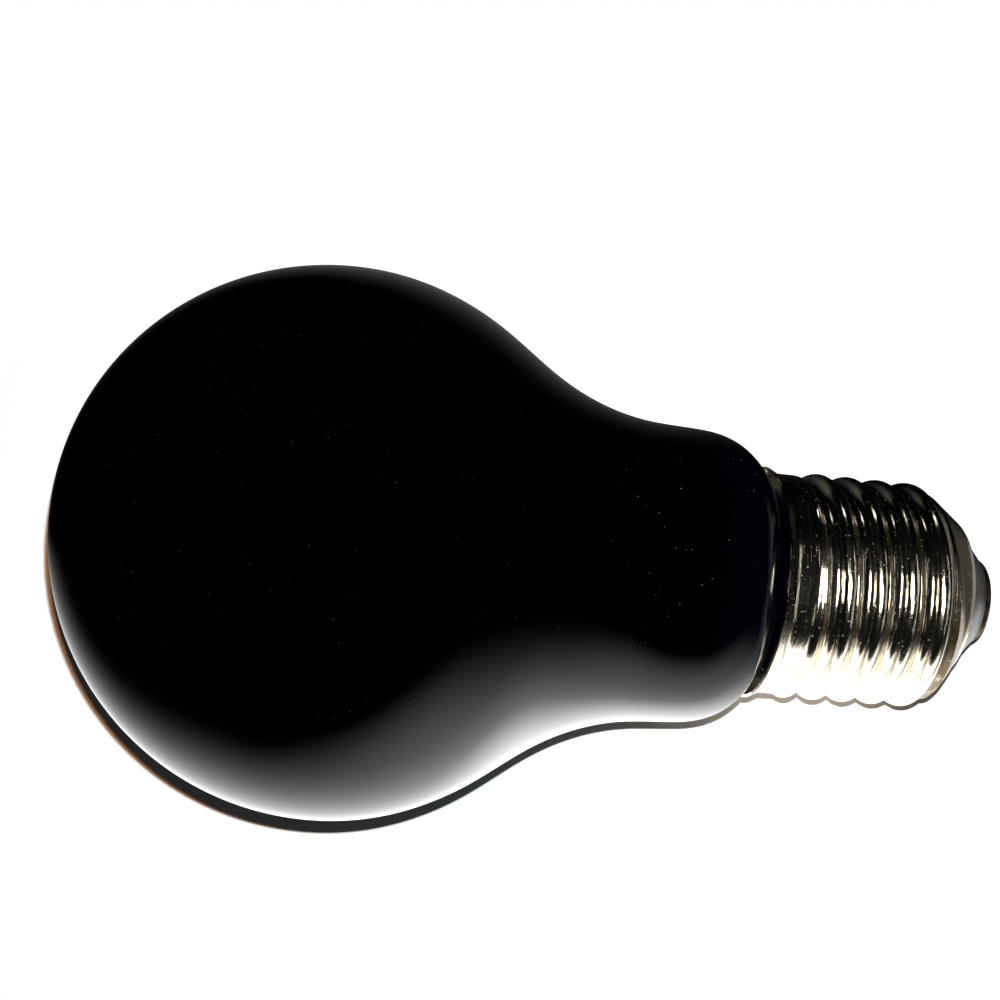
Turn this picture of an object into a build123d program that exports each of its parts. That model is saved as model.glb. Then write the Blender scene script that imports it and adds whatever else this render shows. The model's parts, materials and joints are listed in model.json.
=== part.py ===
from build123d import *
import os
from math import acos, asin, atan, cos, degrees, radians, sin, sqrt, tan

# A black-light filament bulb: a dark glass globe with a waisted neck, cemented into a screw cap of
# rolled sheet with a 27 mm round thread. It lies on its side, on the globe and the end of the thread.
# Lengths are millimetres and angles are degrees. Each piece is drawn on one Z axis, from the globe's
# crown at height 0 to the end contact, and the whole bulb is laid down at the end.

# Glass envelope, one blown piece that can't be seen into
globe_diameter = 60.0
blend_radius = 27.0
waist_diameter = 33.97
neck_length = 5.05
neck_taper = 2.6
shoulder_radius = 8.1
seat_fillet = 0.8
seat_length = 10.5
seat_space = 0.91

# Screw shell, one piece of sheet: flared rim, plain collar, rolled thread and conical nose
sheet = 0.3
bend_radius = 0.5
flare_rise = 0.65
flare_length = 1.2
collar_rise = 0.54
collar_length = 3.7
collar_step = 0.6
crest_diameter = 26.3
thread_depth = 1.0
thread_pitch = 3.629
thread_length = 15.7
lead_in_length = 0.95
lead_in_angle = 27.0
run_out_length = 0.9
run_out_angle = 53.0
run_out_tilt = 4.7
nose_length = 3.8
nose_draw = 2.71

# Insulator, a plug of black glass pressed into the nose
insulator_depth = 2.6
insulator_length = 3.7
insulator_land = 10.4
insulator_fillet = 0.5
eyelet_hole = 2.6

# End contact, a plate with an eyelet, closed by a button of solder
contact_margin = 0.2
contact_thickness = 0.65
contact_fillet = 0.25
eyelet_wall = 0.3
eyelet_length = 1.6
button_diameter = 4.6
button_height = 0.9

# Cement ring, lead wires and the bead of solder at the rim
cement_inset = 1.5
wire_diameter = 0.4
side_wire_angle = 165.0
side_wire_offset = 6.0
side_wire_drop = 1.5
wire_bend = 0.6
bead_diameter = 1.4

# Clearances between pieces that seat in each other
seat_gap = 0.05
wire_gap = 0.05

# How far a thread ridge's feet and its base reach into the body that carries it
root_bury = 0.03
ridge_bury = 0.5

# Radii, out from the thread: its root, the sheet between the ridges, the collar, rim, nose and seat
crest_radius = crest_diameter / 2
root_radius = crest_radius - thread_depth
core_radius = root_radius + 2 * root_bury
collar_radius = core_radius + collar_rise
rim_radius = collar_radius + flare_rise
nose_radius = core_radius - nose_draw
seat_radius = core_radius - sheet - seat_space
wire_radius = wire_diameter / 2
wire_bore = wire_radius + wire_gap
wire_channel = (seat_radius + core_radius - sheet) / 2
eyelet_outside = eyelet_hole / 2 - seat_gap
eyelet_inside = eyelet_outside - eyelet_wall

# The glass outline's arc centres and joints, as (radius, height): the blend's arc touches the globe,
# and its centre lies one blend radius off the neck line
globe_radius = globe_diameter / 2
globe_centre = Vector(0, globe_radius)
neck_normal = Vector(cos(radians(neck_taper)), sin(radians(neck_taper)))
neck_run = Vector(-neck_normal.Y, neck_normal.X)
blend_reach = globe_radius + blend_radius
blend_out = waist_diameter / 2 + blend_radius * neck_normal.X
blend_centre = globe_centre + Vector(blend_out, sqrt(blend_reach**2 - blend_out**2))
neck_start = blend_centre - neck_normal * blend_radius
neck_end = neck_start + neck_run * neck_length
shoulder_centre = neck_end - neck_normal * shoulder_radius
shoulder_rise = sqrt(shoulder_radius**2 - (seat_radius - shoulder_centre.X) ** 2)

# Heights along the axis: the shell's rim is level with the top of the glass seat
rim_height = shoulder_centre.Y + shoulder_rise
seat_end = rim_height + seat_length
cement_start = rim_height + cement_inset
collar_end = rim_height + collar_length
thread_start = collar_end - lead_in_length
nose_start = collar_end + thread_length
run_out_height = nose_start + run_out_length
nose_end = nose_start + nose_length
insulator_end = nose_end + insulator_length
contact_end = insulator_end + contact_thickness

# Unit directions along the flare and the nose, as (radius, height), and the nose's outward normal
flare_run = Vector(-flare_rise, flare_length).normalized()
nose_run = Vector(-nose_draw, nose_length).normalized()
nose_normal = Vector(nose_run.Y, -nose_run.X)

# Steepest angle of the thread's flank and the one radius of its crest and root arcs
flank_angle = 2 * atan(2 * (crest_radius - root_radius) / thread_pitch)
flank_arc = thread_pitch / 4 / sin(flank_angle)


def turned(section):
    """Revolves a half section, drawn as (radius, height), about the bulb's axis."""
    return revolve(Plane.XZ * section, axis=Axis.Z)


def half_section(*points):
    """Closed half section with straight sides."""
    return make_face(Polyline(*points, close=True))


def shrunk(section, inset):
    """A half section drawn in by one inset, still filled to the axis."""
    if not inset:
        return section
    box = section.bounding_box()
    half = seat_radius / 2
    centre = half_section((0, box.min.Y), (half, box.min.Y), (half, box.max.Y), (0, box.max.Y))
    return offset(section, -inset) + centre


def glass_envelope():
    """Globe, hollow blend, tapered neck and rounded shoulder, with the seat inside the cap."""
    globe_joint = globe_centre + (blend_centre - globe_centre) * (globe_radius / blend_reach)
    hollow = ((globe_joint + neck_start) / 2 - blend_centre).normalized()
    seat_start = Vector(seat_radius, rim_height)
    bulge = ((neck_end + seat_start) / 2 - shoulder_centre).normalized()
    outline = [
        ThreePointArc((0, 0), (globe_radius, globe_radius), globe_joint),
        ThreePointArc(globe_joint, blend_centre + hollow * blend_radius, neck_start),
        Line(neck_start, neck_end),
        ThreePointArc(neck_end, shoulder_centre + bulge * shoulder_radius, seat_start),
        Polyline(seat_start, (seat_radius, seat_end), (0, seat_end), (0, 0)),
    ]
    section = make_face(outline)
    corner = section.vertices().sort_by_distance(seat_start)[0]
    return turned(fillet(corner, seat_fillet))


def blank_section(inset):
    """Half section of the shell before its nose is drawn in. An inset one runs out of the rim."""
    rim = Vector(rim_radius, rim_height) - flare_run * (3 * inset)
    top = nose_end + thread_pitch
    skin = FilletPolyline(
        rim,
        (collar_radius, rim_height + flare_length),
        (collar_radius, collar_end),
        (core_radius, collar_end + collar_step),
        (core_radius, top),
        radius=bend_radius,
    )
    section = make_face([skin, Polyline((core_radius, top), (0, top), (0, rim.Y), rim)])
    return shrunk(section, inset)


def ridge_section():
    """Section of the rolled ridge outside: a crest arc between two hollow feet of the same radius."""
    foot = acos(1 - root_bury / flank_arc)
    foot_end = thread_pitch / 2 - flank_arc * sin(foot)
    foot_radius = root_radius + root_bury
    base = core_radius - ridge_bury
    steep = degrees(flank_angle)
    turn = steep - degrees(foot)
    crest = CenterArc((crest_radius - flank_arc, 0), flank_arc, -steep, 2 * steep)
    upper = CenterArc((root_radius + flank_arc, thread_pitch / 2), flank_arc, 180 + steep, -turn)
    lower = CenterArc((root_radius + flank_arc, -thread_pitch / 2), flank_arc, 180 - steep, turn)
    sides = Polyline((foot_radius, foot_end), (base, foot_end), (base, -foot_end), (foot_radius, -foot_end))
    return make_face([crest, upper, sides, lower])


def groove_section():
    """Section of the hollow behind the ridge, one sheet inside it, with straight sides."""
    hollow_arc = flank_arc - sheet
    knee = Vector(crest_radius - flank_arc + hollow_arc * cos(flank_angle), hollow_arc * sin(flank_angle))
    base = core_radius - sheet - ridge_bury
    base_half = knee.Y + (knee.X - base) / tan(flank_angle)
    return half_section(
        (base, -base_half), (knee.X, -knee.Y), (crest_radius - sheet, 0), (knee.X, knee.Y), (base, base_half)
    )


def lead_in_limit(inset):
    """Solid that trims the ridge where it rises from the collar."""
    above = crest_radius + ridge_bury
    low = thread_start - thread_pitch
    high = nose_end + thread_pitch
    lead = collar_radius - root_bury
    lead_top = collar_end + (above - lead) / tan(radians(lead_in_angle))
    section = half_section(
        (0, low), (lead, low), (lead, collar_end), (above, lead_top), (above, high), (0, high)
    )
    return turned(shrunk(section, inset))


def nose_limit(inset):
    """Solid inside the nose's cone and inside a tilted cone that the last turn of thread runs out on."""
    above = rim_radius + ridge_bury
    low = rim_height - 2 * ridge_bury
    wide = nose_start + (above - core_radius) * nose_run.Y / nose_run.X
    tip = Vector(nose_radius, nose_end) + nose_run * (3 * inset)
    nose = half_section((0, low), (above, low), (above, wide), tip, (0, tip.Y))
    slope = tan(radians(run_out_angle))
    outer = run_out_height + (root_radius - above) / slope
    flat = run_out_height + (root_radius - nose_radius) / slope
    run_out = half_section((0, low), (above, low), (above, outer), (nose_radius, flat), (0, flat))
    tilted = Pos(0, 0, run_out_height) * Rot(0, run_out_tilt, 0) * Pos(0, 0, -run_out_height)
    return turned(shrunk(nose, inset)) + tilted * turned(shrunk(run_out, inset))


def rolled_body(inset, thread_section):
    """Everything inside the sheet's skin, or inside a skin one inset smaller, with its helical ridge."""
    thread_height = nose_start + thread_pitch / 2 - thread_start
    path = Helix(thread_pitch, thread_height, root_radius, center=(0, 0, thread_start))
    ridge = sweep(Plane.XZ * Pos(0, thread_start) * thread_section, path=path, is_frenet=True)
    blank = turned(blank_section(inset)) + (ridge & lead_in_limit(inset))
    return blank & nose_limit(inset)


def screw_shell():
    """Thin sheet that follows the thread inside and out, open at the rim and at the nose."""
    return rolled_body(0, ridge_section()) - rolled_body(sheet, groove_section())


def cap_insulator():
    """Plug of glass behind the nose, with a conical face outside it and a hole for the eyelet."""
    inner_skin = Vector(nose_radius, nose_end) - nose_normal * (sheet + seat_gap)
    low = inner_skin.Y - insulator_depth
    seat = inner_skin - nose_run * (insulator_depth / nose_run.Y)
    hole = eyelet_hole / 2
    land = (insulator_land / 2, insulator_end)
    section = half_section((hole, low), seat, inner_skin, land, (hole, insulator_end))
    corner = section.vertices().sort_by_distance(land)[0]
    return turned(fillet(corner, insulator_fillet))


def centre_contact():
    """Plate on the insulator's end, with an eyelet that lines its hole."""
    edge = insulator_land / 2 - contact_margin
    eyelet_low = insulator_end - eyelet_length
    section = half_section(
        (eyelet_inside, eyelet_low),
        (eyelet_outside, eyelet_low),
        (eyelet_outside, insulator_end),
        (edge, insulator_end),
        (edge, contact_end),
        (eyelet_inside, contact_end),
    )
    corner = section.vertices().sort_by_distance((edge, contact_end))[0]
    return turned(fillet(corner, contact_fillet))


def solder_button():
    """Dome on the contact plate, with a plug in the eyelet that takes the centre wire."""
    plug = eyelet_inside - seat_gap
    plug_low = insulator_end - eyelet_length
    dome_edge = button_diameter / 2
    dome_radius = (dome_edge**2 + button_height**2) / (2 * button_height)
    dome = RadiusArc((dome_edge, contact_end), (0, contact_end + button_height), -dome_radius)
    under = Polyline(
        (0, contact_end + button_height),
        (0, contact_end),
        (wire_bore, contact_end),
        (wire_bore, plug_low),
        (plug, plug_low),
        (plug, contact_end),
        (dome_edge, contact_end),
    )
    return turned(make_face([dome, under]))


def centre_wire():
    """Straight lead from the end of the glass to the solder button."""
    return turned(
        half_section((0, seat_end), (wire_radius, seat_end), (wire_radius, contact_end), (0, contact_end))
    )


def side_wire_path():
    """Lead that leaves the glass end, turns out and runs back along the glass to the rim."""
    turn = seat_end + side_wire_drop
    return Rot(0, 0, side_wire_angle) * FilletPolyline(
        (side_wire_offset, 0, seat_end),
        (side_wire_offset, 0, turn),
        (wire_channel, 0, turn),
        (wire_channel, 0, cement_start),
        radius=wire_bend,
    )


def wire_along(path, radius):
    """Round bar along a path."""
    return sweep(Plane(origin=path @ 0, z_dir=path % 0) * Circle(radius), path=path)


def basing_cement():
    """Ring between the glass seat and the collar, with a channel for the side wire."""
    inside = seat_radius + seat_gap
    outside = collar_radius - sheet - seat_gap
    end = collar_end - bend_radius
    ring = half_section((inside, cement_start), (outside, cement_start), (outside, end), (inside, end))
    return turned(ring) - wire_along(side_wire_path(), wire_bore)


def rim_solder(glass, shell):
    """Bead that joins the side wire's end to the flare, trimmed by the glass, the flare and the cement."""
    bead_radius = (wire_channel + collar_radius - sheet) / 2
    bead = Rot(0, 0, side_wire_angle) * Pos(bead_radius, 0, cement_start) * Sphere(bead_diameter / 2)
    mouth = half_section(
        (0, rim_height), (rim_radius, rim_height), (rim_radius, cement_start), (0, cement_start)
    )
    return (bead & turned(mouth)) - glass - shell


def laid_down(dip):
    """Lays the axis along +X with the thread's zero angle at +Y, and dips the cap about the globe."""
    along_x = Plane(origin=(0, 0, 0), x_dir=(0, 1, 0), z_dir=(1, 0, 0)).location
    return Pos(0, 0, globe_radius) * Rot(0, dip, 0) * along_x * Pos(0, 0, -globe_radius)


def resting_dip(shell):
    """Angle at which the thread's end touches the floor together with the globe."""
    lever = nose_start - globe_radius
    dip = degrees(asin((globe_radius - crest_radius) / lever))
    for _ in range(4):
        clearance = (laid_down(dip) * shell).bounding_box().min.Z
        dip += degrees(atan(clearance / lever))
    return dip


glass = glass_envelope()
shell = screw_shell()
pieces = {
    "glass_envelope": glass,
    "screw_shell": shell,
    "cap_insulator": cap_insulator(),
    "centre_contact": centre_contact(),
    "solder_button": solder_button(),
    "basing_cement": basing_cement(),
    "centre_wire": centre_wire(),
    "side_wire": wire_along(side_wire_path(), wire_radius),
    "rim_solder": rim_solder(glass, shell),
}

rest = laid_down(resting_dip(shell))
boxes = [(rest * piece).bounding_box() for piece in pieces.values()]
middle = (min(box.min.X for box in boxes) + max(box.max.X for box in boxes)) / 2
os.makedirs("parts", exist_ok=True)
for name, piece in pieces.items():
    export_step(Pos(-middle, 0, 0) * rest * piece, f"parts/{name}.step")
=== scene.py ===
import json
from math import atan, cos, pi, radians, sin, sqrt, tan

import bmesh
import bpy
from mathutils import Matrix, Vector, noise


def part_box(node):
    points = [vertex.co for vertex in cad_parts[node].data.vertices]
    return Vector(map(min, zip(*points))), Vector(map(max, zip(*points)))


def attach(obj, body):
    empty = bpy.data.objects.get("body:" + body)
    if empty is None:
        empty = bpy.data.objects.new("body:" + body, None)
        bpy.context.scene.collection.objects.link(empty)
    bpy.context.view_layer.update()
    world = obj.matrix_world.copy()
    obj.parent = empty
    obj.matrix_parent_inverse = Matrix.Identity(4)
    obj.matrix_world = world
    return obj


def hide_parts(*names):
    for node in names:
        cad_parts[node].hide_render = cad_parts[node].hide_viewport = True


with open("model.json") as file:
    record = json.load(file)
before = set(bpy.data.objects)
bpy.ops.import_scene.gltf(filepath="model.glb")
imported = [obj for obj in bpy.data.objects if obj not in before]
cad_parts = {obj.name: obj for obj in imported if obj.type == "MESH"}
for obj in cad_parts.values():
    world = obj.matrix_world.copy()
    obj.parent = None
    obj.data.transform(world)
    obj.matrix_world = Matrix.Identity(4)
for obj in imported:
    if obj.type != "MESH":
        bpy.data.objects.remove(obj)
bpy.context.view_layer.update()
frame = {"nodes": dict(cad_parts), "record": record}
bpy.context.scene.view_settings.view_transform = "Standard"

# The bulb is drawn on its own axis, in millimetres from the globe's crown, with the sizes of the solids
GLOBE_RADIUS = 30.0
BLEND_RADIUS = 27.0
WAIST_RADIUS = 16.985
NECK_LENGTH = 5.05
NECK_TAPER = radians(2.6)
SHOULDER_RADIUS = 8.1
SEAT_RADIUS = 11.0
SEAT_LENGTH = 10.5
SHEET, SHEET_EDGE = 0.3, 0.08
FLARE_RISE, FLARE_LENGTH = 0.65, 1.2
COLLAR_RISE, COLLAR_LENGTH, COLLAR_STEP = 0.54, 3.7, 0.6
CREST_RADIUS = 13.15
THREAD_DEPTH = 1.0
THREAD_PITCH = 3.629
THREAD_LENGTH = 15.7
CORE_RISE = 0.06
LEAD_IN_DROP, LEAD_IN_LENGTH, LEAD_IN_ANGLE = 0.03, 0.95, radians(27)
RUN_OUT_LENGTH, RUN_OUT_ANGLE, RUN_OUT_TILT = 0.9, radians(53), radians(4.7)
NOSE_LENGTH, NOSE_DRAW = 3.8, 2.71
INSULATOR_DEPTH, INSULATOR_LENGTH, INSULATOR_LAND = 2.6, 3.7, 5.2
INSULATOR_GAP, INSULATOR_EDGE = 0.05, 0.5
EYELET_RADIUS, EYELET_WALL, EYELET_LENGTH = 1.25, 0.3, 1.6
CONTACT_RADIUS, CONTACT_THICKNESS, CONTACT_EDGE = 5.0, 0.65, 0.25
DOME_RADIUS, DOME_HEIGHT, DOME_SAG = 2.3, 0.9, 0.10

# The glass changes curvature over a run at each side of a joint, and the shift fades over a few runs more
BLEND_EASE, SHOULDER_EASE, EASE_FADE = 4.5, 2.3, 3.0

ROOT_RADIUS = CREST_RADIUS - THREAD_DEPTH
CORE_RADIUS = ROOT_RADIUS + CORE_RISE
COLLAR_RADIUS = CORE_RADIUS + COLLAR_RISE
RIM_RADIUS = COLLAR_RADIUS + FLARE_RISE
NOSE_RADIUS = CORE_RADIUS - NOSE_DRAW

# Arc centres of the glass outline, as (radius, height), and the heights of the cap
NECK_NORMAL = Vector((cos(NECK_TAPER), sin(NECK_TAPER)))
NECK_RUN = Vector((-sin(NECK_TAPER), cos(NECK_TAPER)))
BLEND_REACH = GLOBE_RADIUS + BLEND_RADIUS
BLEND_OUT = WAIST_RADIUS + BLEND_RADIUS * NECK_NORMAL.x
BLEND_CENTRE = Vector((BLEND_OUT, GLOBE_RADIUS + sqrt(BLEND_REACH**2 - BLEND_OUT**2)))
NECK_END = BLEND_CENTRE - NECK_NORMAL * BLEND_RADIUS + NECK_RUN * NECK_LENGTH
SHOULDER_CENTRE = NECK_END - NECK_NORMAL * SHOULDER_RADIUS
RIM = SHOULDER_CENTRE.y + sqrt(SHOULDER_RADIUS**2 - (SEAT_RADIUS - SHOULDER_CENTRE.x) ** 2)
COLLAR_END = RIM + COLLAR_LENGTH
THREAD_START = COLLAR_END - LEAD_IN_LENGTH
NOSE_START = COLLAR_END + THREAD_LENGTH
NOSE_END = NOSE_START + NOSE_LENGTH
RUN_OUT = NOSE_START + RUN_OUT_LENGTH
INSULATOR_END = NOSE_END + INSULATOR_LENGTH
CONTACT_END = INSULATOR_END + CONTACT_THICKNESS
THREAD_MIDDLE = 90.0

# From the bulb's own axis to where it lies: thread angle 0 at +Y, 90 degrees upwards
AXIS = Vector(frame["record"]["mounts"][0]["axis"]).normalized()
UPWARD = AXIS.cross(Vector((0, 1, 0)))
TURN = Matrix((Vector((0, 1, 0)), UPWARD, AXIS)).transposed()
GLOBE_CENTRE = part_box("glass_envelope")[0] + Vector((1, 1, 1)) * (GLOBE_RADIUS / 1000)
CROWN = GLOBE_CENTRE - AXIS * (GLOBE_RADIUS / 1000)
LAID = Matrix.Translation(CROWN) @ TURN.to_4x4() @ Matrix.Scale(0.001, 4)

# The paper, in metres: the floor's side, the patch of it that takes the shadow, and the sweep that is mirrored,
# whose glow is painted light
FLOOR_SIZE = 1.2
SHADOW_MIDDLE, SHADOW_HALF_LENGTH, SHADOW_FADE = 0.011, 0.033, (0.050, 0.064)
FLOOR_TONE = 0.6
SWEEP_CENTRE, SWEEP_FLAT, SWEEP_CURVE, SWEEP_REACH = 0.010, 0.090, 0.200, 0.380
SWEEP_RINGS, SWEEP_STEPS = 40, 96

# Painted light: glow of the mirrored paper, a painted pool of light in its reflections: levels, with places,
# reaches and fades in metres
EVEN_GLOW, EVEN_FALL, EVEN_FADE = 2.45, 0.119, (0.060, 0.257)
NECK_GLOW, NECK_GLOW_PLACE, NECK_GLOW_REACH = 1.60, (0.025, -0.038), 0.037
FRONT_CORNER, FRONT_LEAN, FRONT_SOFT, FRONT_FADE = (-0.013, 0.0093), 0.32, 0.0001, (0.325, 0.911)
LEFT_LEAN, LEFT_FADE, LEFT_POWER = 0.374, (-0.139, -0.032), 1.5
CAP_GLOW, CAP_GLOW_PLACE, CAP_GLOW_REACH, CAP_GLOW_SQUEEZE = 0.82, (0.087, -0.174), 0.138, 0.75
BACK_GLOW, BACK_REACH, BACK_FADE = 0.36, 0.102, (-0.050, 0.037)
END_GLOW, END_START, END_FADE, END_SIDES = 0.3, (0.055, 0.075), (0.09, 0.16), (0.015, 0.045)

# Light of the room on the bulb, and the room as the bulb mirrors it
ROOM_LIGHT, ROOM_MIRRORED = 0.015, 0.0005

# The bulb as the camera sees it: where its axis passes the neck, across, down and away, and how it is turned
CAMERA_NECK_HEIGHT = 0.060
CAMERA_NECK = Vector((0.005028, -0.005817, 0.154462))
CAMERA_SENSOR = 36.0
CAMERA_FOCUS = 1.35435
CAMERA_TILT, CAMERA_ROLL = 0.1710, 0.0799
CAMERA_SHIFT = (-0.06, 0.12)


def arc(bm, tip, centre, turn, steps):
    """Carries the last vertex of an outline round a centre, anticlockwise as (radius, height)."""
    made = bmesh.ops.spin(
        bm, geom=[tip], cent=(centre[0], 0, centre[1]), axis=(0, -1, 0), angle=turn, steps=steps,
        dvec=(0, 0, 0), use_merge=False, use_normal_flip=False, use_duplicate=False,
    )
    return [v for v in made["geom_last"] if isinstance(v, bmesh.types.BMVert)][0]


def line(bm, tip, end, steps=1):
    """Draws the outline on to a (radius, height) in equal steps."""
    start = tip.co.copy()
    goal = Vector((end[0], 0, end[1]))
    for i in range(steps):
        tip, last = bm.verts.new(start.lerp(goal, (i + 1) / steps)), tip
        bm.edges.new((last, tip))
    return tip


def outline(*points):
    """A new bmesh with a straight outline through (radius, height) points, and its last vertex."""
    bm = bmesh.new()
    tip = bm.verts.new((points[0][0], 0, points[0][1]))
    for point in points[1:]:
        tip = line(bm, tip, point)
    return bm, tip


def ease(bm, joint, jump, run):
    """Lets an outline's curvature change by a jump over a run at each side of a joint, and fades the shift out."""
    places = [v.co.copy() for v in bm.verts]
    lengths = [0.0]
    for last, place in zip(places, places[1:]):
        lengths.append(lengths[-1] + (place - last).length)
    middle = lengths[joint]
    bm.verts.ensure_lookup_table()
    for i in range(1, len(places) - 1):
        along = (places[i + 1] - places[i - 1]).normalized()
        inward = Vector((-along.z, 0, along.x))
        beyond = abs(lengths[i] - middle)
        bent = 1 - (1 - min(1, beyond / run)) ** 3
        faded = min(1, max(0, beyond / run - 1) / EASE_FADE)
        shift = jump * run**2 / 12 * bent * (1 - faded**2 * (3 - 2 * faded))
        bm.verts[i].co += inward * (shift if lengths[i] > middle else -shift)


def turned(bm, steps=192):
    """Spins an outline right round the bulb's axis and closes its seam and poles."""
    bmesh.ops.spin(
        bm, geom=bm.verts[:] + bm.edges[:], cent=(0, 0, 0), axis=(0, 0, 1), angle=2 * pi, steps=steps,
        dvec=(0, 0, 0), use_merge=True, use_normal_flip=False, use_duplicate=False,
    )
    bmesh.ops.remove_doubles(bm, verts=bm.verts, dist=1e-4)
    bmesh.ops.recalc_face_normals(bm, faces=bm.faces)


def piece(name, bm, node, finish, sharp=radians(38)):
    """Lays a finished bmesh down as a piece of the bulb that stands for a CAD node."""
    bmesh.ops.transform(bm, matrix=LAID, verts=bm.verts)
    mesh = bpy.data.meshes.new(name)
    bm.to_mesh(mesh)
    bm.free()
    mesh.shade_smooth()
    mesh.set_sharp_from_angle(angle=sharp)
    mesh.materials.append(finish)
    made = bpy.data.objects.new(name, mesh)
    bpy.context.scene.collection.objects.link(made)
    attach(made, "root")
    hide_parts(node)
    return made


class Wire:
    """An output socket of a finish. Arithmetic on it adds Math nodes."""

    def __init__(self, finish, socket):
        self.finish, self.socket = finish, socket

    def maths(self, operation, *values):
        return self.finish.node("ShaderNodeMath", {"operation": operation}, dict(enumerate(values)))

    def __add__(self, other):
        return self.maths("ADD", self, other)

    def __radd__(self, other):
        return self.maths("ADD", other, self)

    def __sub__(self, other):
        return self.maths("SUBTRACT", self, other)

    def __rsub__(self, other):
        return self.maths("SUBTRACT", other, self)

    def __mul__(self, other):
        return self.maths("MULTIPLY", self, other)

    def __rmul__(self, other):
        return self.maths("MULTIPLY", other, self)

    def __truediv__(self, other):
        return self.maths("DIVIDE", self, other)

    def __rtruediv__(self, other):
        return self.maths("DIVIDE", other, self)

    def __pow__(self, other):
        return self.maths("POWER", self, other)

    def __lt__(self, other):
        return self.maths("LESS_THAN", self, other)

    def __abs__(self):
        return self.maths("ABSOLUTE", self)

    def at_least(self, other):
        return self.maths("MAXIMUM", self, other)


def distance(across, along):
    """Length of a flat offset, as a wire."""
    return (across * across + along * along) ** 0.5


class Finish:
    """A shader tree, with one method that makes its nodes."""

    def __init__(self, tree):
        self.tree = tree
        tree.nodes.clear()

    def node(self, kind, settings=None, sockets=None, output=0):
        """Adds a node: its settings first, then the values or links of its sockets."""
        made = self.tree.nodes.new(kind)
        for name, value in (settings or {}).items():
            setattr(made, name, value)
        for name, value in (sockets or {}).items():
            if isinstance(value, Wire):
                self.tree.links.new(value.socket, made.inputs[name])
            else:
                made.inputs[name].default_value = value
        return Wire(self, made.outputs[output]) if made.outputs else None

    def mix(self, factor, a, b):
        """Mixes two colours."""
        colours = {7: b, 6: a, 0: factor}
        for place in (6, 7):
            if isinstance(colours[place], tuple):
                colours[place] = (*colours[place], 1)
        return self.node("ShaderNodeMix", {"data_type": "RGBA"}, colours, 2)

    def step(self, value, low, high):
        """Smooth step from 0 at low to 1 at high."""
        ends = {"Value": value, "From Min": low, "From Max": high}
        return self.node("ShaderNodeMapRange", {"interpolation_type": "SMOOTHSTEP"}, ends)

    def patch(self, level, reach, start, end):
        """A level that holds up to a start and fades to nothing at an end."""
        return level * (1 - self.step(reach, start, end))

    def split(self, place):
        """The x, y and z of a place, as wires."""
        apart = self.node("ShaderNodeSeparateXYZ", None, {"Vector": place})
        return [Wire(self, socket) for socket in apart.socket.node.outputs]

    def ray(self, kind):
        """1 for rays of a kind and 0 for the others."""
        return self.node("ShaderNodeLightPath", output="Is " + kind + " Ray")

    def bulb_place(self):
        """Place on the bulb in millimetres: z along its axis from the crown, x at thread angle 0."""
        back = LAID.inverted()
        placing = {
            "Location": back.translation,
            "Rotation": TURN.transposed().to_euler(),
            "Scale": (1000, 1000, 1000),
        }
        placing["Vector"] = self.node("ShaderNodeTexCoord", output="Object")
        return self.node("ShaderNodeMapping", {"vector_type": "POINT"}, placing)

    def grain(self, place, scale, detail=3.0, roughness=0.55):
        """Noise from 0 to 1."""
        sockets = {"Vector": place, "Scale": scale, "Detail": detail, "Roughness": roughness}
        return self.node("ShaderNodeTexNoise", None, sockets)

    def specks(self, place, size, share, width):
        """Round spots about a cell apart, of which only a share is left, each of its own width."""
        cells = {"Vector": place, "Scale": 1 / size}
        off_centre = self.node("ShaderNodeTexVoronoi", None, cells)
        chance = self.node("ShaderNodeTexVoronoi", None, cells, "Color")
        chance = self.node("ShaderNodeSeparateColor", None, {"Color": chance})
        return off_centre < (chance - (1 - share)) * (width / share)

    def bump(self, strength, depth, height):
        """A normal with small relief, its depth in metres."""
        relief = {"Strength": strength, "Distance": depth, "Height": height}
        return self.node("ShaderNodeBump", None, relief)

    def surface(self, sockets):
        """Ends the tree in a Principled shader."""
        shader = self.node("ShaderNodeBsdfPrincipled", None, sockets)
        self.node("ShaderNodeOutputMaterial", None, {"Surface": shader})


def material(name):
    """A new material and its empty finish."""
    made = bpy.data.materials.new(name)
    made.use_nodes = True
    return made, Finish(made.node_tree)


def black_glass():
    """Deep black glass, violet near the cap, with a faint film of wiping marks and a few specks of dust."""
    black, violet_black = (0.0003, 0.0003, 0.0005), (0.0010, 0.0014, 0.0060)
    globe_dust, neck_dust = (0.035, 0.035, 0.040), (0.24, 0.24, 0.245)
    made, f = material("black_glass")
    place = f.bulb_place()
    z = f.split(place)[2]
    dust = f.specks(place, size=0.7, share=0.30, width=0.10)
    dust_colour = f.mix(f.step(z, 52, 68), globe_dust, neck_dust)
    film = f.grain(place, scale=0.09, detail=4.0)
    marks = f.grain(place, scale=0.8, detail=5.0)
    violet = f.step(z + 20 * film, 70, 92)
    f.surface({
        "Base Color": f.mix(dust, f.mix(violet, black, violet_black), dust_colour),
        "Roughness": 0.02 + 0.03 * film * marks + 0.6 * dust,
        "IOR": 1.5,
    })
    return made


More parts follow.
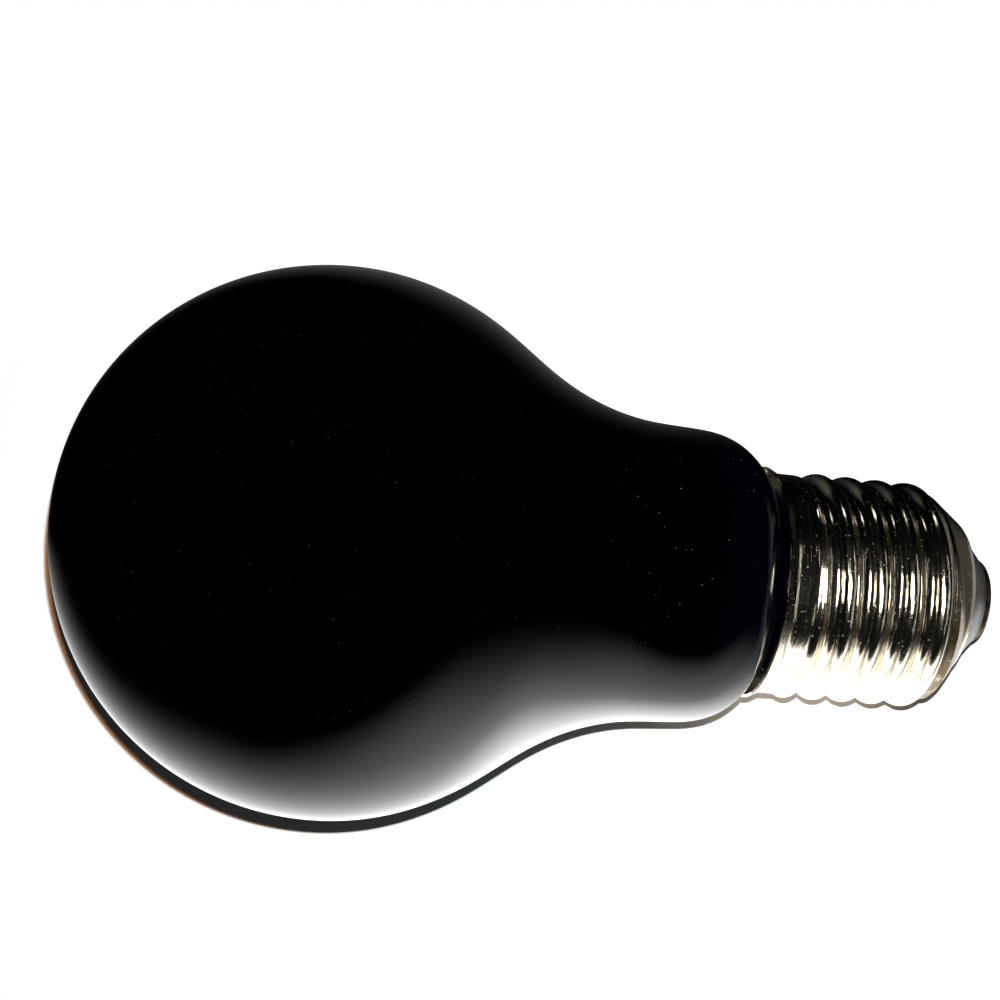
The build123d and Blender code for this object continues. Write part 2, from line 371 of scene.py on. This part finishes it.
def nickel_plate():
    """Warm bright nickel with pits, drawing lines round the cap, and clouds of brown tarnish, most on the nose."""
    nickel, brown = (0.82, 0.75, 0.60), (0.17, 0.125, 0.075)
    made, f = material("nickel_plate")
    place = f.bulb_place()
    x, y, z = f.split(place)
    angle = x.maths("ARCTAN2", x, y)
    ring = {"X": angle * 2.5, "Y": z * 4.0, "Z": distance(x, y) * 2.0}
    lines = f.grain(f.node("ShaderNodeCombineXYZ", None, ring), scale=1.0)
    cloud = f.grain(place, scale=0.35, detail=5.0)
    fine = f.grain(place, scale=3.0, detail=4.0)
    pits = f.specks(place, size=0.32, share=0.45, width=0.22)
    nose = f.step(z, NOSE_START - 0.3, NOSE_START + 0.6) * (1 - f.step(z, NOSE_END - 0.7, NOSE_END - 0.35))
    tarnish = f.step(cloud + 0.26 * nose + (0.25 + 0.40 * nose) * fine, 0.72, 1.0)
    f.surface({
        "Base Color": f.mix(tarnish, nickel, brown),
        "Metallic": 1.0,
        "Roughness": 0.06 + 0.16 * lines + 0.18 * tarnish + 0.4 * pits,
        "Normal": f.bump(0.7, 0.0001, 0.5 * lines + 0.12 * fine),
    })
    return made


def insulator_glass():
    """Satin black pressed glass, a little greyer where the mould left its skin."""
    black, grey = (0.020, 0.020, 0.022), (0.070, 0.068, 0.070)
    made, f = material("insulator_glass")
    place = f.bulb_place()
    skin = f.grain(place, scale=0.9, detail=5.0)
    fine = f.grain(place, scale=7.0)
    f.surface({
        "Base Color": f.mix(skin, black, grey),
        "Roughness": 0.20 + 0.25 * fine,
        "Normal": f.bump(0.2, 0.00004, fine),
    })
    return made


def contact_brass():
    """Brass kept very dark all over, darker still in blotches."""
    brass, dark = (0.14, 0.105, 0.06), (0.03, 0.025, 0.02)
    made, f = material("contact_brass")
    place = f.bulb_place()
    blotch = f.grain(place, scale=0.8, detail=6.0)
    fine = f.grain(place, scale=6.0)
    f.surface({
        "Base Color": f.mix(f.step(blotch, 0.35, 0.7), brass, dark),
        "Metallic": 1.0,
        "Roughness": 0.25 + 0.3 * blotch,
        "Normal": f.bump(0.2, 0.00004, fine),
    })
    return made


def solder():
    """Grey solder with a frosted, uneven skin."""
    grey, bright = (0.44, 0.44, 0.43), (0.70, 0.70, 0.68)
    made, f = material("solder")
    place = f.bulb_place()
    frost = f.grain(place, scale=1.6, detail=5.0)
    fine = f.grain(place, scale=9.0)
    f.surface({
        "Base Color": f.mix(frost, grey, bright),
        "Metallic": 1.0,
        "Roughness": 0.22 + 0.35 * frost,
        "Normal": f.bump(0.3, 0.00005, frost + 0.4 * fine),
    })
    return made


def cement():
    """Matt basing cement, sandy and speckled."""
    brown, sandy = (0.42, 0.35, 0.25), (0.72, 0.66, 0.54)
    made, f = material("cement")
    sand = f.grain(f.bulb_place(), scale=5.0, detail=5.0)
    f.surface({
        "Base Color": f.mix(sand, brown, sandy),
        "Roughness": 0.75 + 0.2 * sand,
        "Normal": f.bump(0.5, 0.0001, sand),
    })
    return made


def lead_wire():
    """Drawn copper, dulled in places."""
    copper, dark = (0.78, 0.44, 0.28), (0.42, 0.24, 0.15)
    made, f = material("lead_wire")
    dull = f.grain(f.bulb_place(), scale=1.2, detail=4.0)
    f.surface({
        "Base Color": f.mix(dull, copper, dark),
        "Metallic": 1.0,
        "Roughness": 0.2 + 0.3 * dull,
    })
    return made


def blown_glass():
    """Globe, hollow blend, tapered neck, rounded shoulder and the seat in the cap, in one skin."""
    bm, tip = outline((0, 0))
    reach = BLEND_CENTRE - Vector((0, GLOBE_RADIUS))
    rise = atan(reach.y / reach.x)
    tip = arc(bm, tip, (0, GLOBE_RADIUS), pi / 2 + rise, 108)
    blend_start = len(bm.verts) - 1
    tip = arc(bm, tip, BLEND_CENTRE, NECK_TAPER - rise, 36)
    neck_start = len(bm.verts) - 1
    tip = line(bm, tip, NECK_END, 10)
    shoulder_start = len(bm.verts) - 1
    seat = Vector((SEAT_RADIUS, RIM)) - SHOULDER_CENTRE
    tip = arc(bm, tip, SHOULDER_CENTRE, atan(seat.y / seat.x) - NECK_TAPER, 28)
    ease(bm, blend_start, -1 / BLEND_RADIUS - 1 / GLOBE_RADIUS, BLEND_EASE)
    ease(bm, neck_start, 1 / BLEND_RADIUS, SHOULDER_EASE)
    ease(bm, shoulder_start, 1 / SHOULDER_RADIUS, SHOULDER_EASE)
    tip = line(bm, tip, (SEAT_RADIUS, RIM + SEAT_LENGTH), 3)
    line(bm, tip, (0, RIM + SEAT_LENGTH), 2)
    turned(bm)
    return piece("blown_glass", bm, "glass_envelope", black_glass())


def blank_radius(height):
    """Radius of the sheet before its thread is rolled: flare, collar, step and core, with soft bends."""
    places = ((RIM, RIM_RADIUS), (RIM + FLARE_LENGTH, COLLAR_RADIUS), (COLLAR_END, COLLAR_RADIUS),
              (COLLAR_END + COLLAR_STEP, CORE_RADIUS), (NOSE_END + THREAD_PITCH, CORE_RADIUS))

    def straight(at):
        for (low, a), (high, b) in zip(places, places[1:]):
            if at <= high:
                return a + (b - a) * (at - low) / (high - low)
        return CORE_RADIUS

    return sum(straight(height + bend) for bend in (-0.24, -0.12, 0, 0.12, 0.24)) / 5


def skin_radius(ridge, height, x):
    """Radius of the finished shell, where the rolled ridge alone would have the given radius."""
    lead_in = COLLAR_RADIUS - LEAD_IN_DROP + max(0, height - COLLAR_END) * tan(LEAD_IN_ANGLE)
    rolled = max(blank_radius(height), min(ridge, lead_in))
    nose = CORE_RADIUS - (height - NOSE_START) * NOSE_DRAW / NOSE_LENGTH
    tilted = x * sin(RUN_OUT_TILT) + (height - RUN_OUT) * cos(RUN_OUT_TILT)
    run_out = ROOT_RADIUS - tilted * tan(RUN_OUT_ANGLE)
    return min(rolled, max(nose, run_out, NOSE_RADIUS))


def rolled_shell():
    """The screw shell: a right-hand helix of rolled thread, trimmed into the collar and the nose."""
    steps, turns, flank = 144, 8, 7
    steep = 2 * atan(2 * THREAD_DEPTH / THREAD_PITCH)
    bend = THREAD_PITCH / 4 / sin(steep)
    foot = THREAD_START - 2 * THREAD_PITCH
    bm, tip = outline((ROOT_RADIUS, foot - THREAD_PITCH / 2))
    tip = arc(bm, tip, (ROOT_RADIUS + bend, foot - THREAD_PITCH / 2), -steep, flank)
    tip = arc(bm, tip, (CREST_RADIUS - bend, foot), 2 * steep, 2 * flank)
    arc(bm, tip, (ROOT_RADIUS + bend, foot + THREAD_PITCH / 2), -steep, flank)
    bmesh.ops.spin(
        bm, geom=bm.verts[:] + bm.edges[:], cent=(0, 0, 0), axis=(0, 0, 1), angle=2 * pi * turns,
        steps=steps * turns, dvec=(0, 0, THREAD_PITCH / steps),
        use_merge=False, use_normal_flip=False, use_duplicate=False,
    )
    bmesh.ops.remove_doubles(bm, verts=bm.verts, dist=1e-3)
    for height, side in ((RIM, -1), (NOSE_END, 1)):
        bmesh.ops.bisect_plane(
            bm, geom=bm.verts[:] + bm.edges[:] + bm.faces[:], dist=1e-5, plane_co=(0, 0, height),
            plane_no=(0, 0, side), use_snap_center=False, clear_outer=True, clear_inner=False,
        )
    for v in bm.verts:
        ridge = v.co.xy.length
        skin = skin_radius(ridge, v.co.z, v.co.x)
        v.co.x, v.co.y = v.co.xy * (skin / ridge)
    bmesh.ops.recalc_face_normals(bm, faces=bm.faces)
    outward = sum(f.normal.dot(Vector((*f.calc_center_median().xy, 0))) for f in bm.faces)
    if outward < 0:
        bmesh.ops.reverse_faces(bm, faces=bm.faces)
    bmesh.ops.solidify(bm, geom=bm.faces[:], thickness=SHEET)
    corners = [e for e in bm.edges if len(e.link_faces) == 2 and e.calc_face_angle() > radians(60)]
    bmesh.ops.bevel(
        bm, geom=corners, offset=SHEET_EDGE, affect="EDGES", segments=2, profile=0.5, material=-1,
        clamp_overlap=True,
    )
    return piece("rolled_shell", bm, "screw_shell", nickel_plate())


def pressed_insulator():
    """The plug of black glass in the nose, with a conical face and a land with broken edges."""
    run = Vector((-NOSE_DRAW, NOSE_LENGTH)).normalized()
    lip = Vector((NOSE_RADIUS, NOSE_END)) - Vector((run.y, -run.x)) * (SHEET + INSULATOR_GAP)
    back = lip - run * (INSULATOR_DEPTH / run.y)
    face = Vector((INSULATOR_LAND, INSULATOR_END))
    slope = (lip - face).normalized()
    bore = EYELET_RADIUS + INSULATOR_GAP
    bm, tip = outline(
        (bore, back.y), back, lip, face + slope * INSULATOR_EDGE, face - Vector((INSULATOR_EDGE, 0)),
        (bore, INSULATOR_END),
    )
    line(bm, tip, (bore, back.y))
    turned(bm, 128)
    return piece("pressed_insulator", bm, "cap_insulator", insulator_glass())


def contact_plate():
    """The plate on the insulator's end, with an eyelet through its middle."""
    bore = EYELET_RADIUS - EYELET_WALL
    eyelet_end = INSULATOR_END - EYELET_LENGTH
    bm, tip = outline(
        (bore, eyelet_end), (EYELET_RADIUS, eyelet_end), (EYELET_RADIUS, INSULATOR_END),
        (CONTACT_RADIUS, INSULATOR_END), (CONTACT_RADIUS, CONTACT_END - CONTACT_EDGE),
    )
    tip = arc(bm, tip, (CONTACT_RADIUS - CONTACT_EDGE, CONTACT_END - CONTACT_EDGE), pi / 2, 6)
    tip = line(bm, tip, (bore, CONTACT_END), 4)
    line(bm, tip, (bore, eyelet_end))
    turned(bm, 128)
    return piece("contact_plate", bm, "centre_contact", contact_brass())


def solder_dome():
    """The button of solder on the contact plate, set a little unevenly as it froze."""
    radius = (DOME_RADIUS**2 + DOME_HEIGHT**2) / (2 * DOME_HEIGHT)
    centre = (0, CONTACT_END + DOME_HEIGHT - radius)
    rise = atan((CONTACT_END - centre[1]) / DOME_RADIUS)
    bm, tip = outline((0, CONTACT_END), (DOME_RADIUS, CONTACT_END))
    arc(bm, tip, centre, pi / 2 - rise, 24)
    turned(bm, 96)
    for v in bm.verts:
        if v.co.z > CONTACT_END + 0.05:
            uneven = 0.5 + 0.5 * noise.noise(v.co * 1.1)
            v.co.z -= DOME_SAG * uneven * (v.co.z - CONTACT_END) / DOME_HEIGHT
    return piece("solder_dome", bm, "solder_button", solder())


glass = blown_glass()
cap = [rolled_shell(), pressed_insulator(), contact_plate(), solder_dome()]
copper = lead_wire()
cad_finishes = {
    "basing_cement": cement(),
    "rim_solder": bpy.data.materials["solder"],
    "centre_wire": copper,
    "side_wire": copper,
}
for name, finish in cad_finishes.items():
    for slot in frame["nodes"][name].material_slots:
        slot.material = finish


def stage_sheet(name, bm):
    """A sheet of the stage made from a bmesh, with a finish to fill in and its place across and up, as wires."""
    mesh = bpy.data.meshes.new(name)
    bm.to_mesh(mesh)
    bm.free()
    sheet = bpy.data.objects.new(name, mesh)
    bpy.context.scene.collection.objects.link(sheet)
    made, f = material(name)
    made.cycles.emission_sampling = "NONE"
    mesh.materials.append(made)
    x, y, _ = f.split(f.node("ShaderNodeTexCoord", output="Object"))
    return sheet, f, x, y


def paper_floor():
    """White paper under the bulb. It takes the shadow near the bulb and is plain white further out."""
    bm = bmesh.new()
    bmesh.ops.create_grid(bm, x_segments=1, y_segments=1, size=FLOOR_SIZE / 2)
    floor, f, x, y = stage_sheet("white_paper", bm)
    camera_ray = f.ray("Camera")
    beside = (abs(x - SHADOW_MIDDLE) - SHADOW_HALF_LENGTH).at_least(0.0)
    away = f.step(distance(beside, y), *SHADOW_FADE)
    glow = f.node("ShaderNodeEmission", None, {"Strength": camera_ray * away})
    tone = camera_ray * (1 - away) + FLOOR_TONE * (1 - camera_ray)
    tone = f.node("ShaderNodeCombineColor", None, {0: tone, 1: tone, 2: tone})
    matt = f.node("ShaderNodeBsdfDiffuse", None, {"Color": tone})
    upper = f.node("ShaderNodeAddShader", None, {0: matt, 1: glow})
    # Clear from below, so that the bulb shows from underneath
    below = f.node("ShaderNodeNewGeometry", output="Backfacing")
    clear = f.node("ShaderNodeBsdfTransparent")
    surface = f.node("ShaderNodeMixShader", None, {0: below, 1: upper, 2: clear})
    f.node("ShaderNodeOutputMaterial", None, {"Surface": surface})
    floor.visible_glossy = floor.visible_transmission = False
    return floor


def painted_glow_sweep():
    """The paper as the bulb mirrors it: flat under the bulb, curving up all round, seen only in reflections. Its
    glow is painted light, a painted pool of light on the paper.
    """
    reaches = [SWEEP_REACH * ring / SWEEP_RINGS for ring in range(SWEEP_RINGS + 1)]
    bm, _ = outline(*((reach, max(0, reach - SWEEP_FLAT) ** 2 / (2 * SWEEP_CURVE)) for reach in reaches))
    turned(bm, SWEEP_STEPS)
    bmesh.ops.translate(bm, vec=(SWEEP_CENTRE, 0, 0), verts=bm.verts)
    sweep, f, x, y = stage_sheet("painted_glow_sweep", bm)
    # Painted pool of light: brightest under the neck and in front of it, fading outwards, to the left and past the
    # cap
    reach = distance(x - SWEEP_CENTRE, y)
    even = f.patch(EVEN_GLOW, reach, *EVEN_FADE) / (1 + (reach / EVEN_FALL) ** 2)
    from_neck = distance(x - NECK_GLOW_PLACE[0], y - NECK_GLOW_PLACE[1])
    under_neck = f.patch(NECK_GLOW, from_neck, 0, NECK_GLOW_REACH)
    across, ahead = x - FRONT_CORNER[0], FRONT_CORNER[1] - y
    beside = across.at_least(-FRONT_LEAN * across)
    facing = ahead / (beside * beside + ahead * ahead + FRONT_SOFT) ** 0.5
    front = f.step(facing, *FRONT_FADE)
    left = f.step(x - LEFT_LEAN * y, *LEFT_FADE) ** LEFT_POWER
    from_cap = distance(CAP_GLOW_SQUEEZE * (x - CAP_GLOW_PLACE[0]), y - CAP_GLOW_PLACE[1])
    before_cap = f.patch(CAP_GLOW, from_cap, 0, CAP_GLOW_REACH)
    behind = f.patch(BACK_GLOW, reach, 0, BACK_REACH) * (1 - f.step(x, *BACK_FADE))
    past_cap = f.patch(END_GLOW, x, *END_FADE) * f.step(x, *END_START) * (1 - f.step(abs(y), *END_SIDES))
    level = front * left * (even + under_neck) + front**0.5 * before_cap + behind + past_cap
    mirrored = f.ray("Glossy") + f.ray("Transmission")
    glow = f.node("ShaderNodeEmission", None, {"Strength": mirrored * level})
    f.node("ShaderNodeOutputMaterial", None, {"Surface": glow})
    sweep.visible_camera = sweep.visible_diffuse = sweep.visible_shadow = False


def studio_world():
    """White behind the bulb, a low even light on it, and a dark room in its reflections."""
    world = bpy.data.worlds.new("studio")
    world.use_nodes = True
    bpy.context.scene.world = world
    f = Finish(world.node_tree)
    camera_ray = f.ray("Camera")
    room = ROOM_LIGHT + (ROOM_MIRRORED - ROOM_LIGHT) * f.ray("Glossy")
    level = camera_ray + (1 - camera_ray) * room
    background = f.node("ShaderNodeBackground", None, {"Color": (1, 1, 1, 1), "Strength": level})
    f.node("ShaderNodeOutputWorld", None, {"Surface": background})


def lamp(name, kind, place, hidden, lit, aim=(0, 0, 0), **settings):
    """A lamp aimed at a point, left out of the given kinds of ray and kept to a group of pieces."""
    data = bpy.data.lights.new(name, kind)
    for key, value in settings.items():
        setattr(data, key, value)
    made = bpy.data.objects.new(name, data)
    made.location = place
    made.rotation_euler = (Vector(aim) - Vector(place)).to_track_quat("-Z", "Y").to_euler()
    for ray in hidden:
        setattr(made, "visible_" + ray, False)
    bpy.context.scene.collection.objects.link(made)
    made.light_linking.receiver_collection = lit


def group(name, members):
    """A collection that a lamp can be kept to."""
    made = bpy.data.collections.new(name)
    for member in members:
        made.objects.link(member)
    return made


def camera_turn(tilt, roll):
    """The camera's axes in the bulb's frame, from the tilt and roll of the bulb's axis in the picture."""
    along = Vector((cos(tilt) * cos(roll), cos(tilt) * sin(roll), sin(tilt)))
    near = (Vector((0, 0, -1)) + along * sin(tilt)).normalized()
    seen = Matrix((-along.cross(near), near, along)).transposed()
    return TURN @ seen.transposed()


def photo_camera():
    """The camera over the bulb, right for a square picture."""
    row_from_picture = camera_turn(CAMERA_TILT, CAMERA_ROLL)
    data = bpy.data.cameras.new("camera")
    data.sensor_width = CAMERA_SENSOR
    data.lens = CAMERA_FOCUS * CAMERA_SENSOR
    data.shift_x, data.shift_y = CAMERA_SHIFT
    data.clip_start = 0.01
    neck = CROWN + AXIS * CAMERA_NECK_HEIGHT
    turn = row_from_picture @ Matrix(((1, 0, 0), (0, -1, 0), (0, 0, -1)))
    made = bpy.data.objects.new("camera", data)
    made.matrix_world = Matrix.Translation(neck - row_from_picture @ CAMERA_NECK) @ turn.to_4x4()
    bpy.context.scene.collection.objects.link(made)
    bpy.context.scene.camera = made
    return made


paper = group("paper", [paper_floor()])
painted_glow_sweep()
studio_world()
eye = photo_camera().matrix_world
bulb = group("bulb", [glass, *cap, *frame["nodes"].values()])
metal = group("metal", [*cap, frame["nodes"]["rim_solder"]])
thread = LAID @ Vector((0, 0, THREAD_MIDDLE))

# Two small lamps beside the camera cast the shadow on the paper, the warm one a little to the left
unseen = ["camera", "glossy", "transmission"]
lamp("key", "POINT", eye @ Vector((0.0015, 0.0069, 0)), unseen, paper,
     energy=1.75, color=(0.74, 0.88, 0.96), shadow_soft_size=0.0008)
lamp("warm_key", "POINT", eye @ Vector((-0.0003, 0.0067, 0)), unseen, paper,
     energy=0.45, color=(1.0, 0.46, 0.16), shadow_soft_size=0.0008)
lamp("fill", "SUN", (0, 0, 0.5), unseen, bulb, energy=2.8, angle=radians(50))

# Soft cards and strips that the cap mirrors
mirror_only = ["camera", "diffuse"]
lamp("overhead", "AREA", eye @ Vector((0.01, 0, 0)), mirror_only, metal, thread,
     shape="ELLIPSE", size=0.10, size_y=0.045, energy=0.22)
lamp("front_card", "AREA", (0.03, -0.14, 0.032), mirror_only, metal, (0.03, 0, 0.032),
     shape="RECTANGLE", size=0.30, size_y=0.064, energy=0.10)
lamp("floor_glow", "AREA", (0.046, -0.038, 0.0002), mirror_only, metal, (0.046, -0.038, 1),
     shape="ELLIPSE", size=0.078, size_y=0.086, energy=0.027)
lamp("end_strip", "AREA", (0.32, 0, 0.20), mirror_only, metal, thread,
     shape="RECTANGLE", size=0.50, size_y=0.03, energy=0.085)
lamp("back_glint", "AREA", (0.035, 0.20, 0.07), mirror_only, metal, thread,
     shape="RECTANGLE", size=0.03, size_y=0.03, energy=0.012)
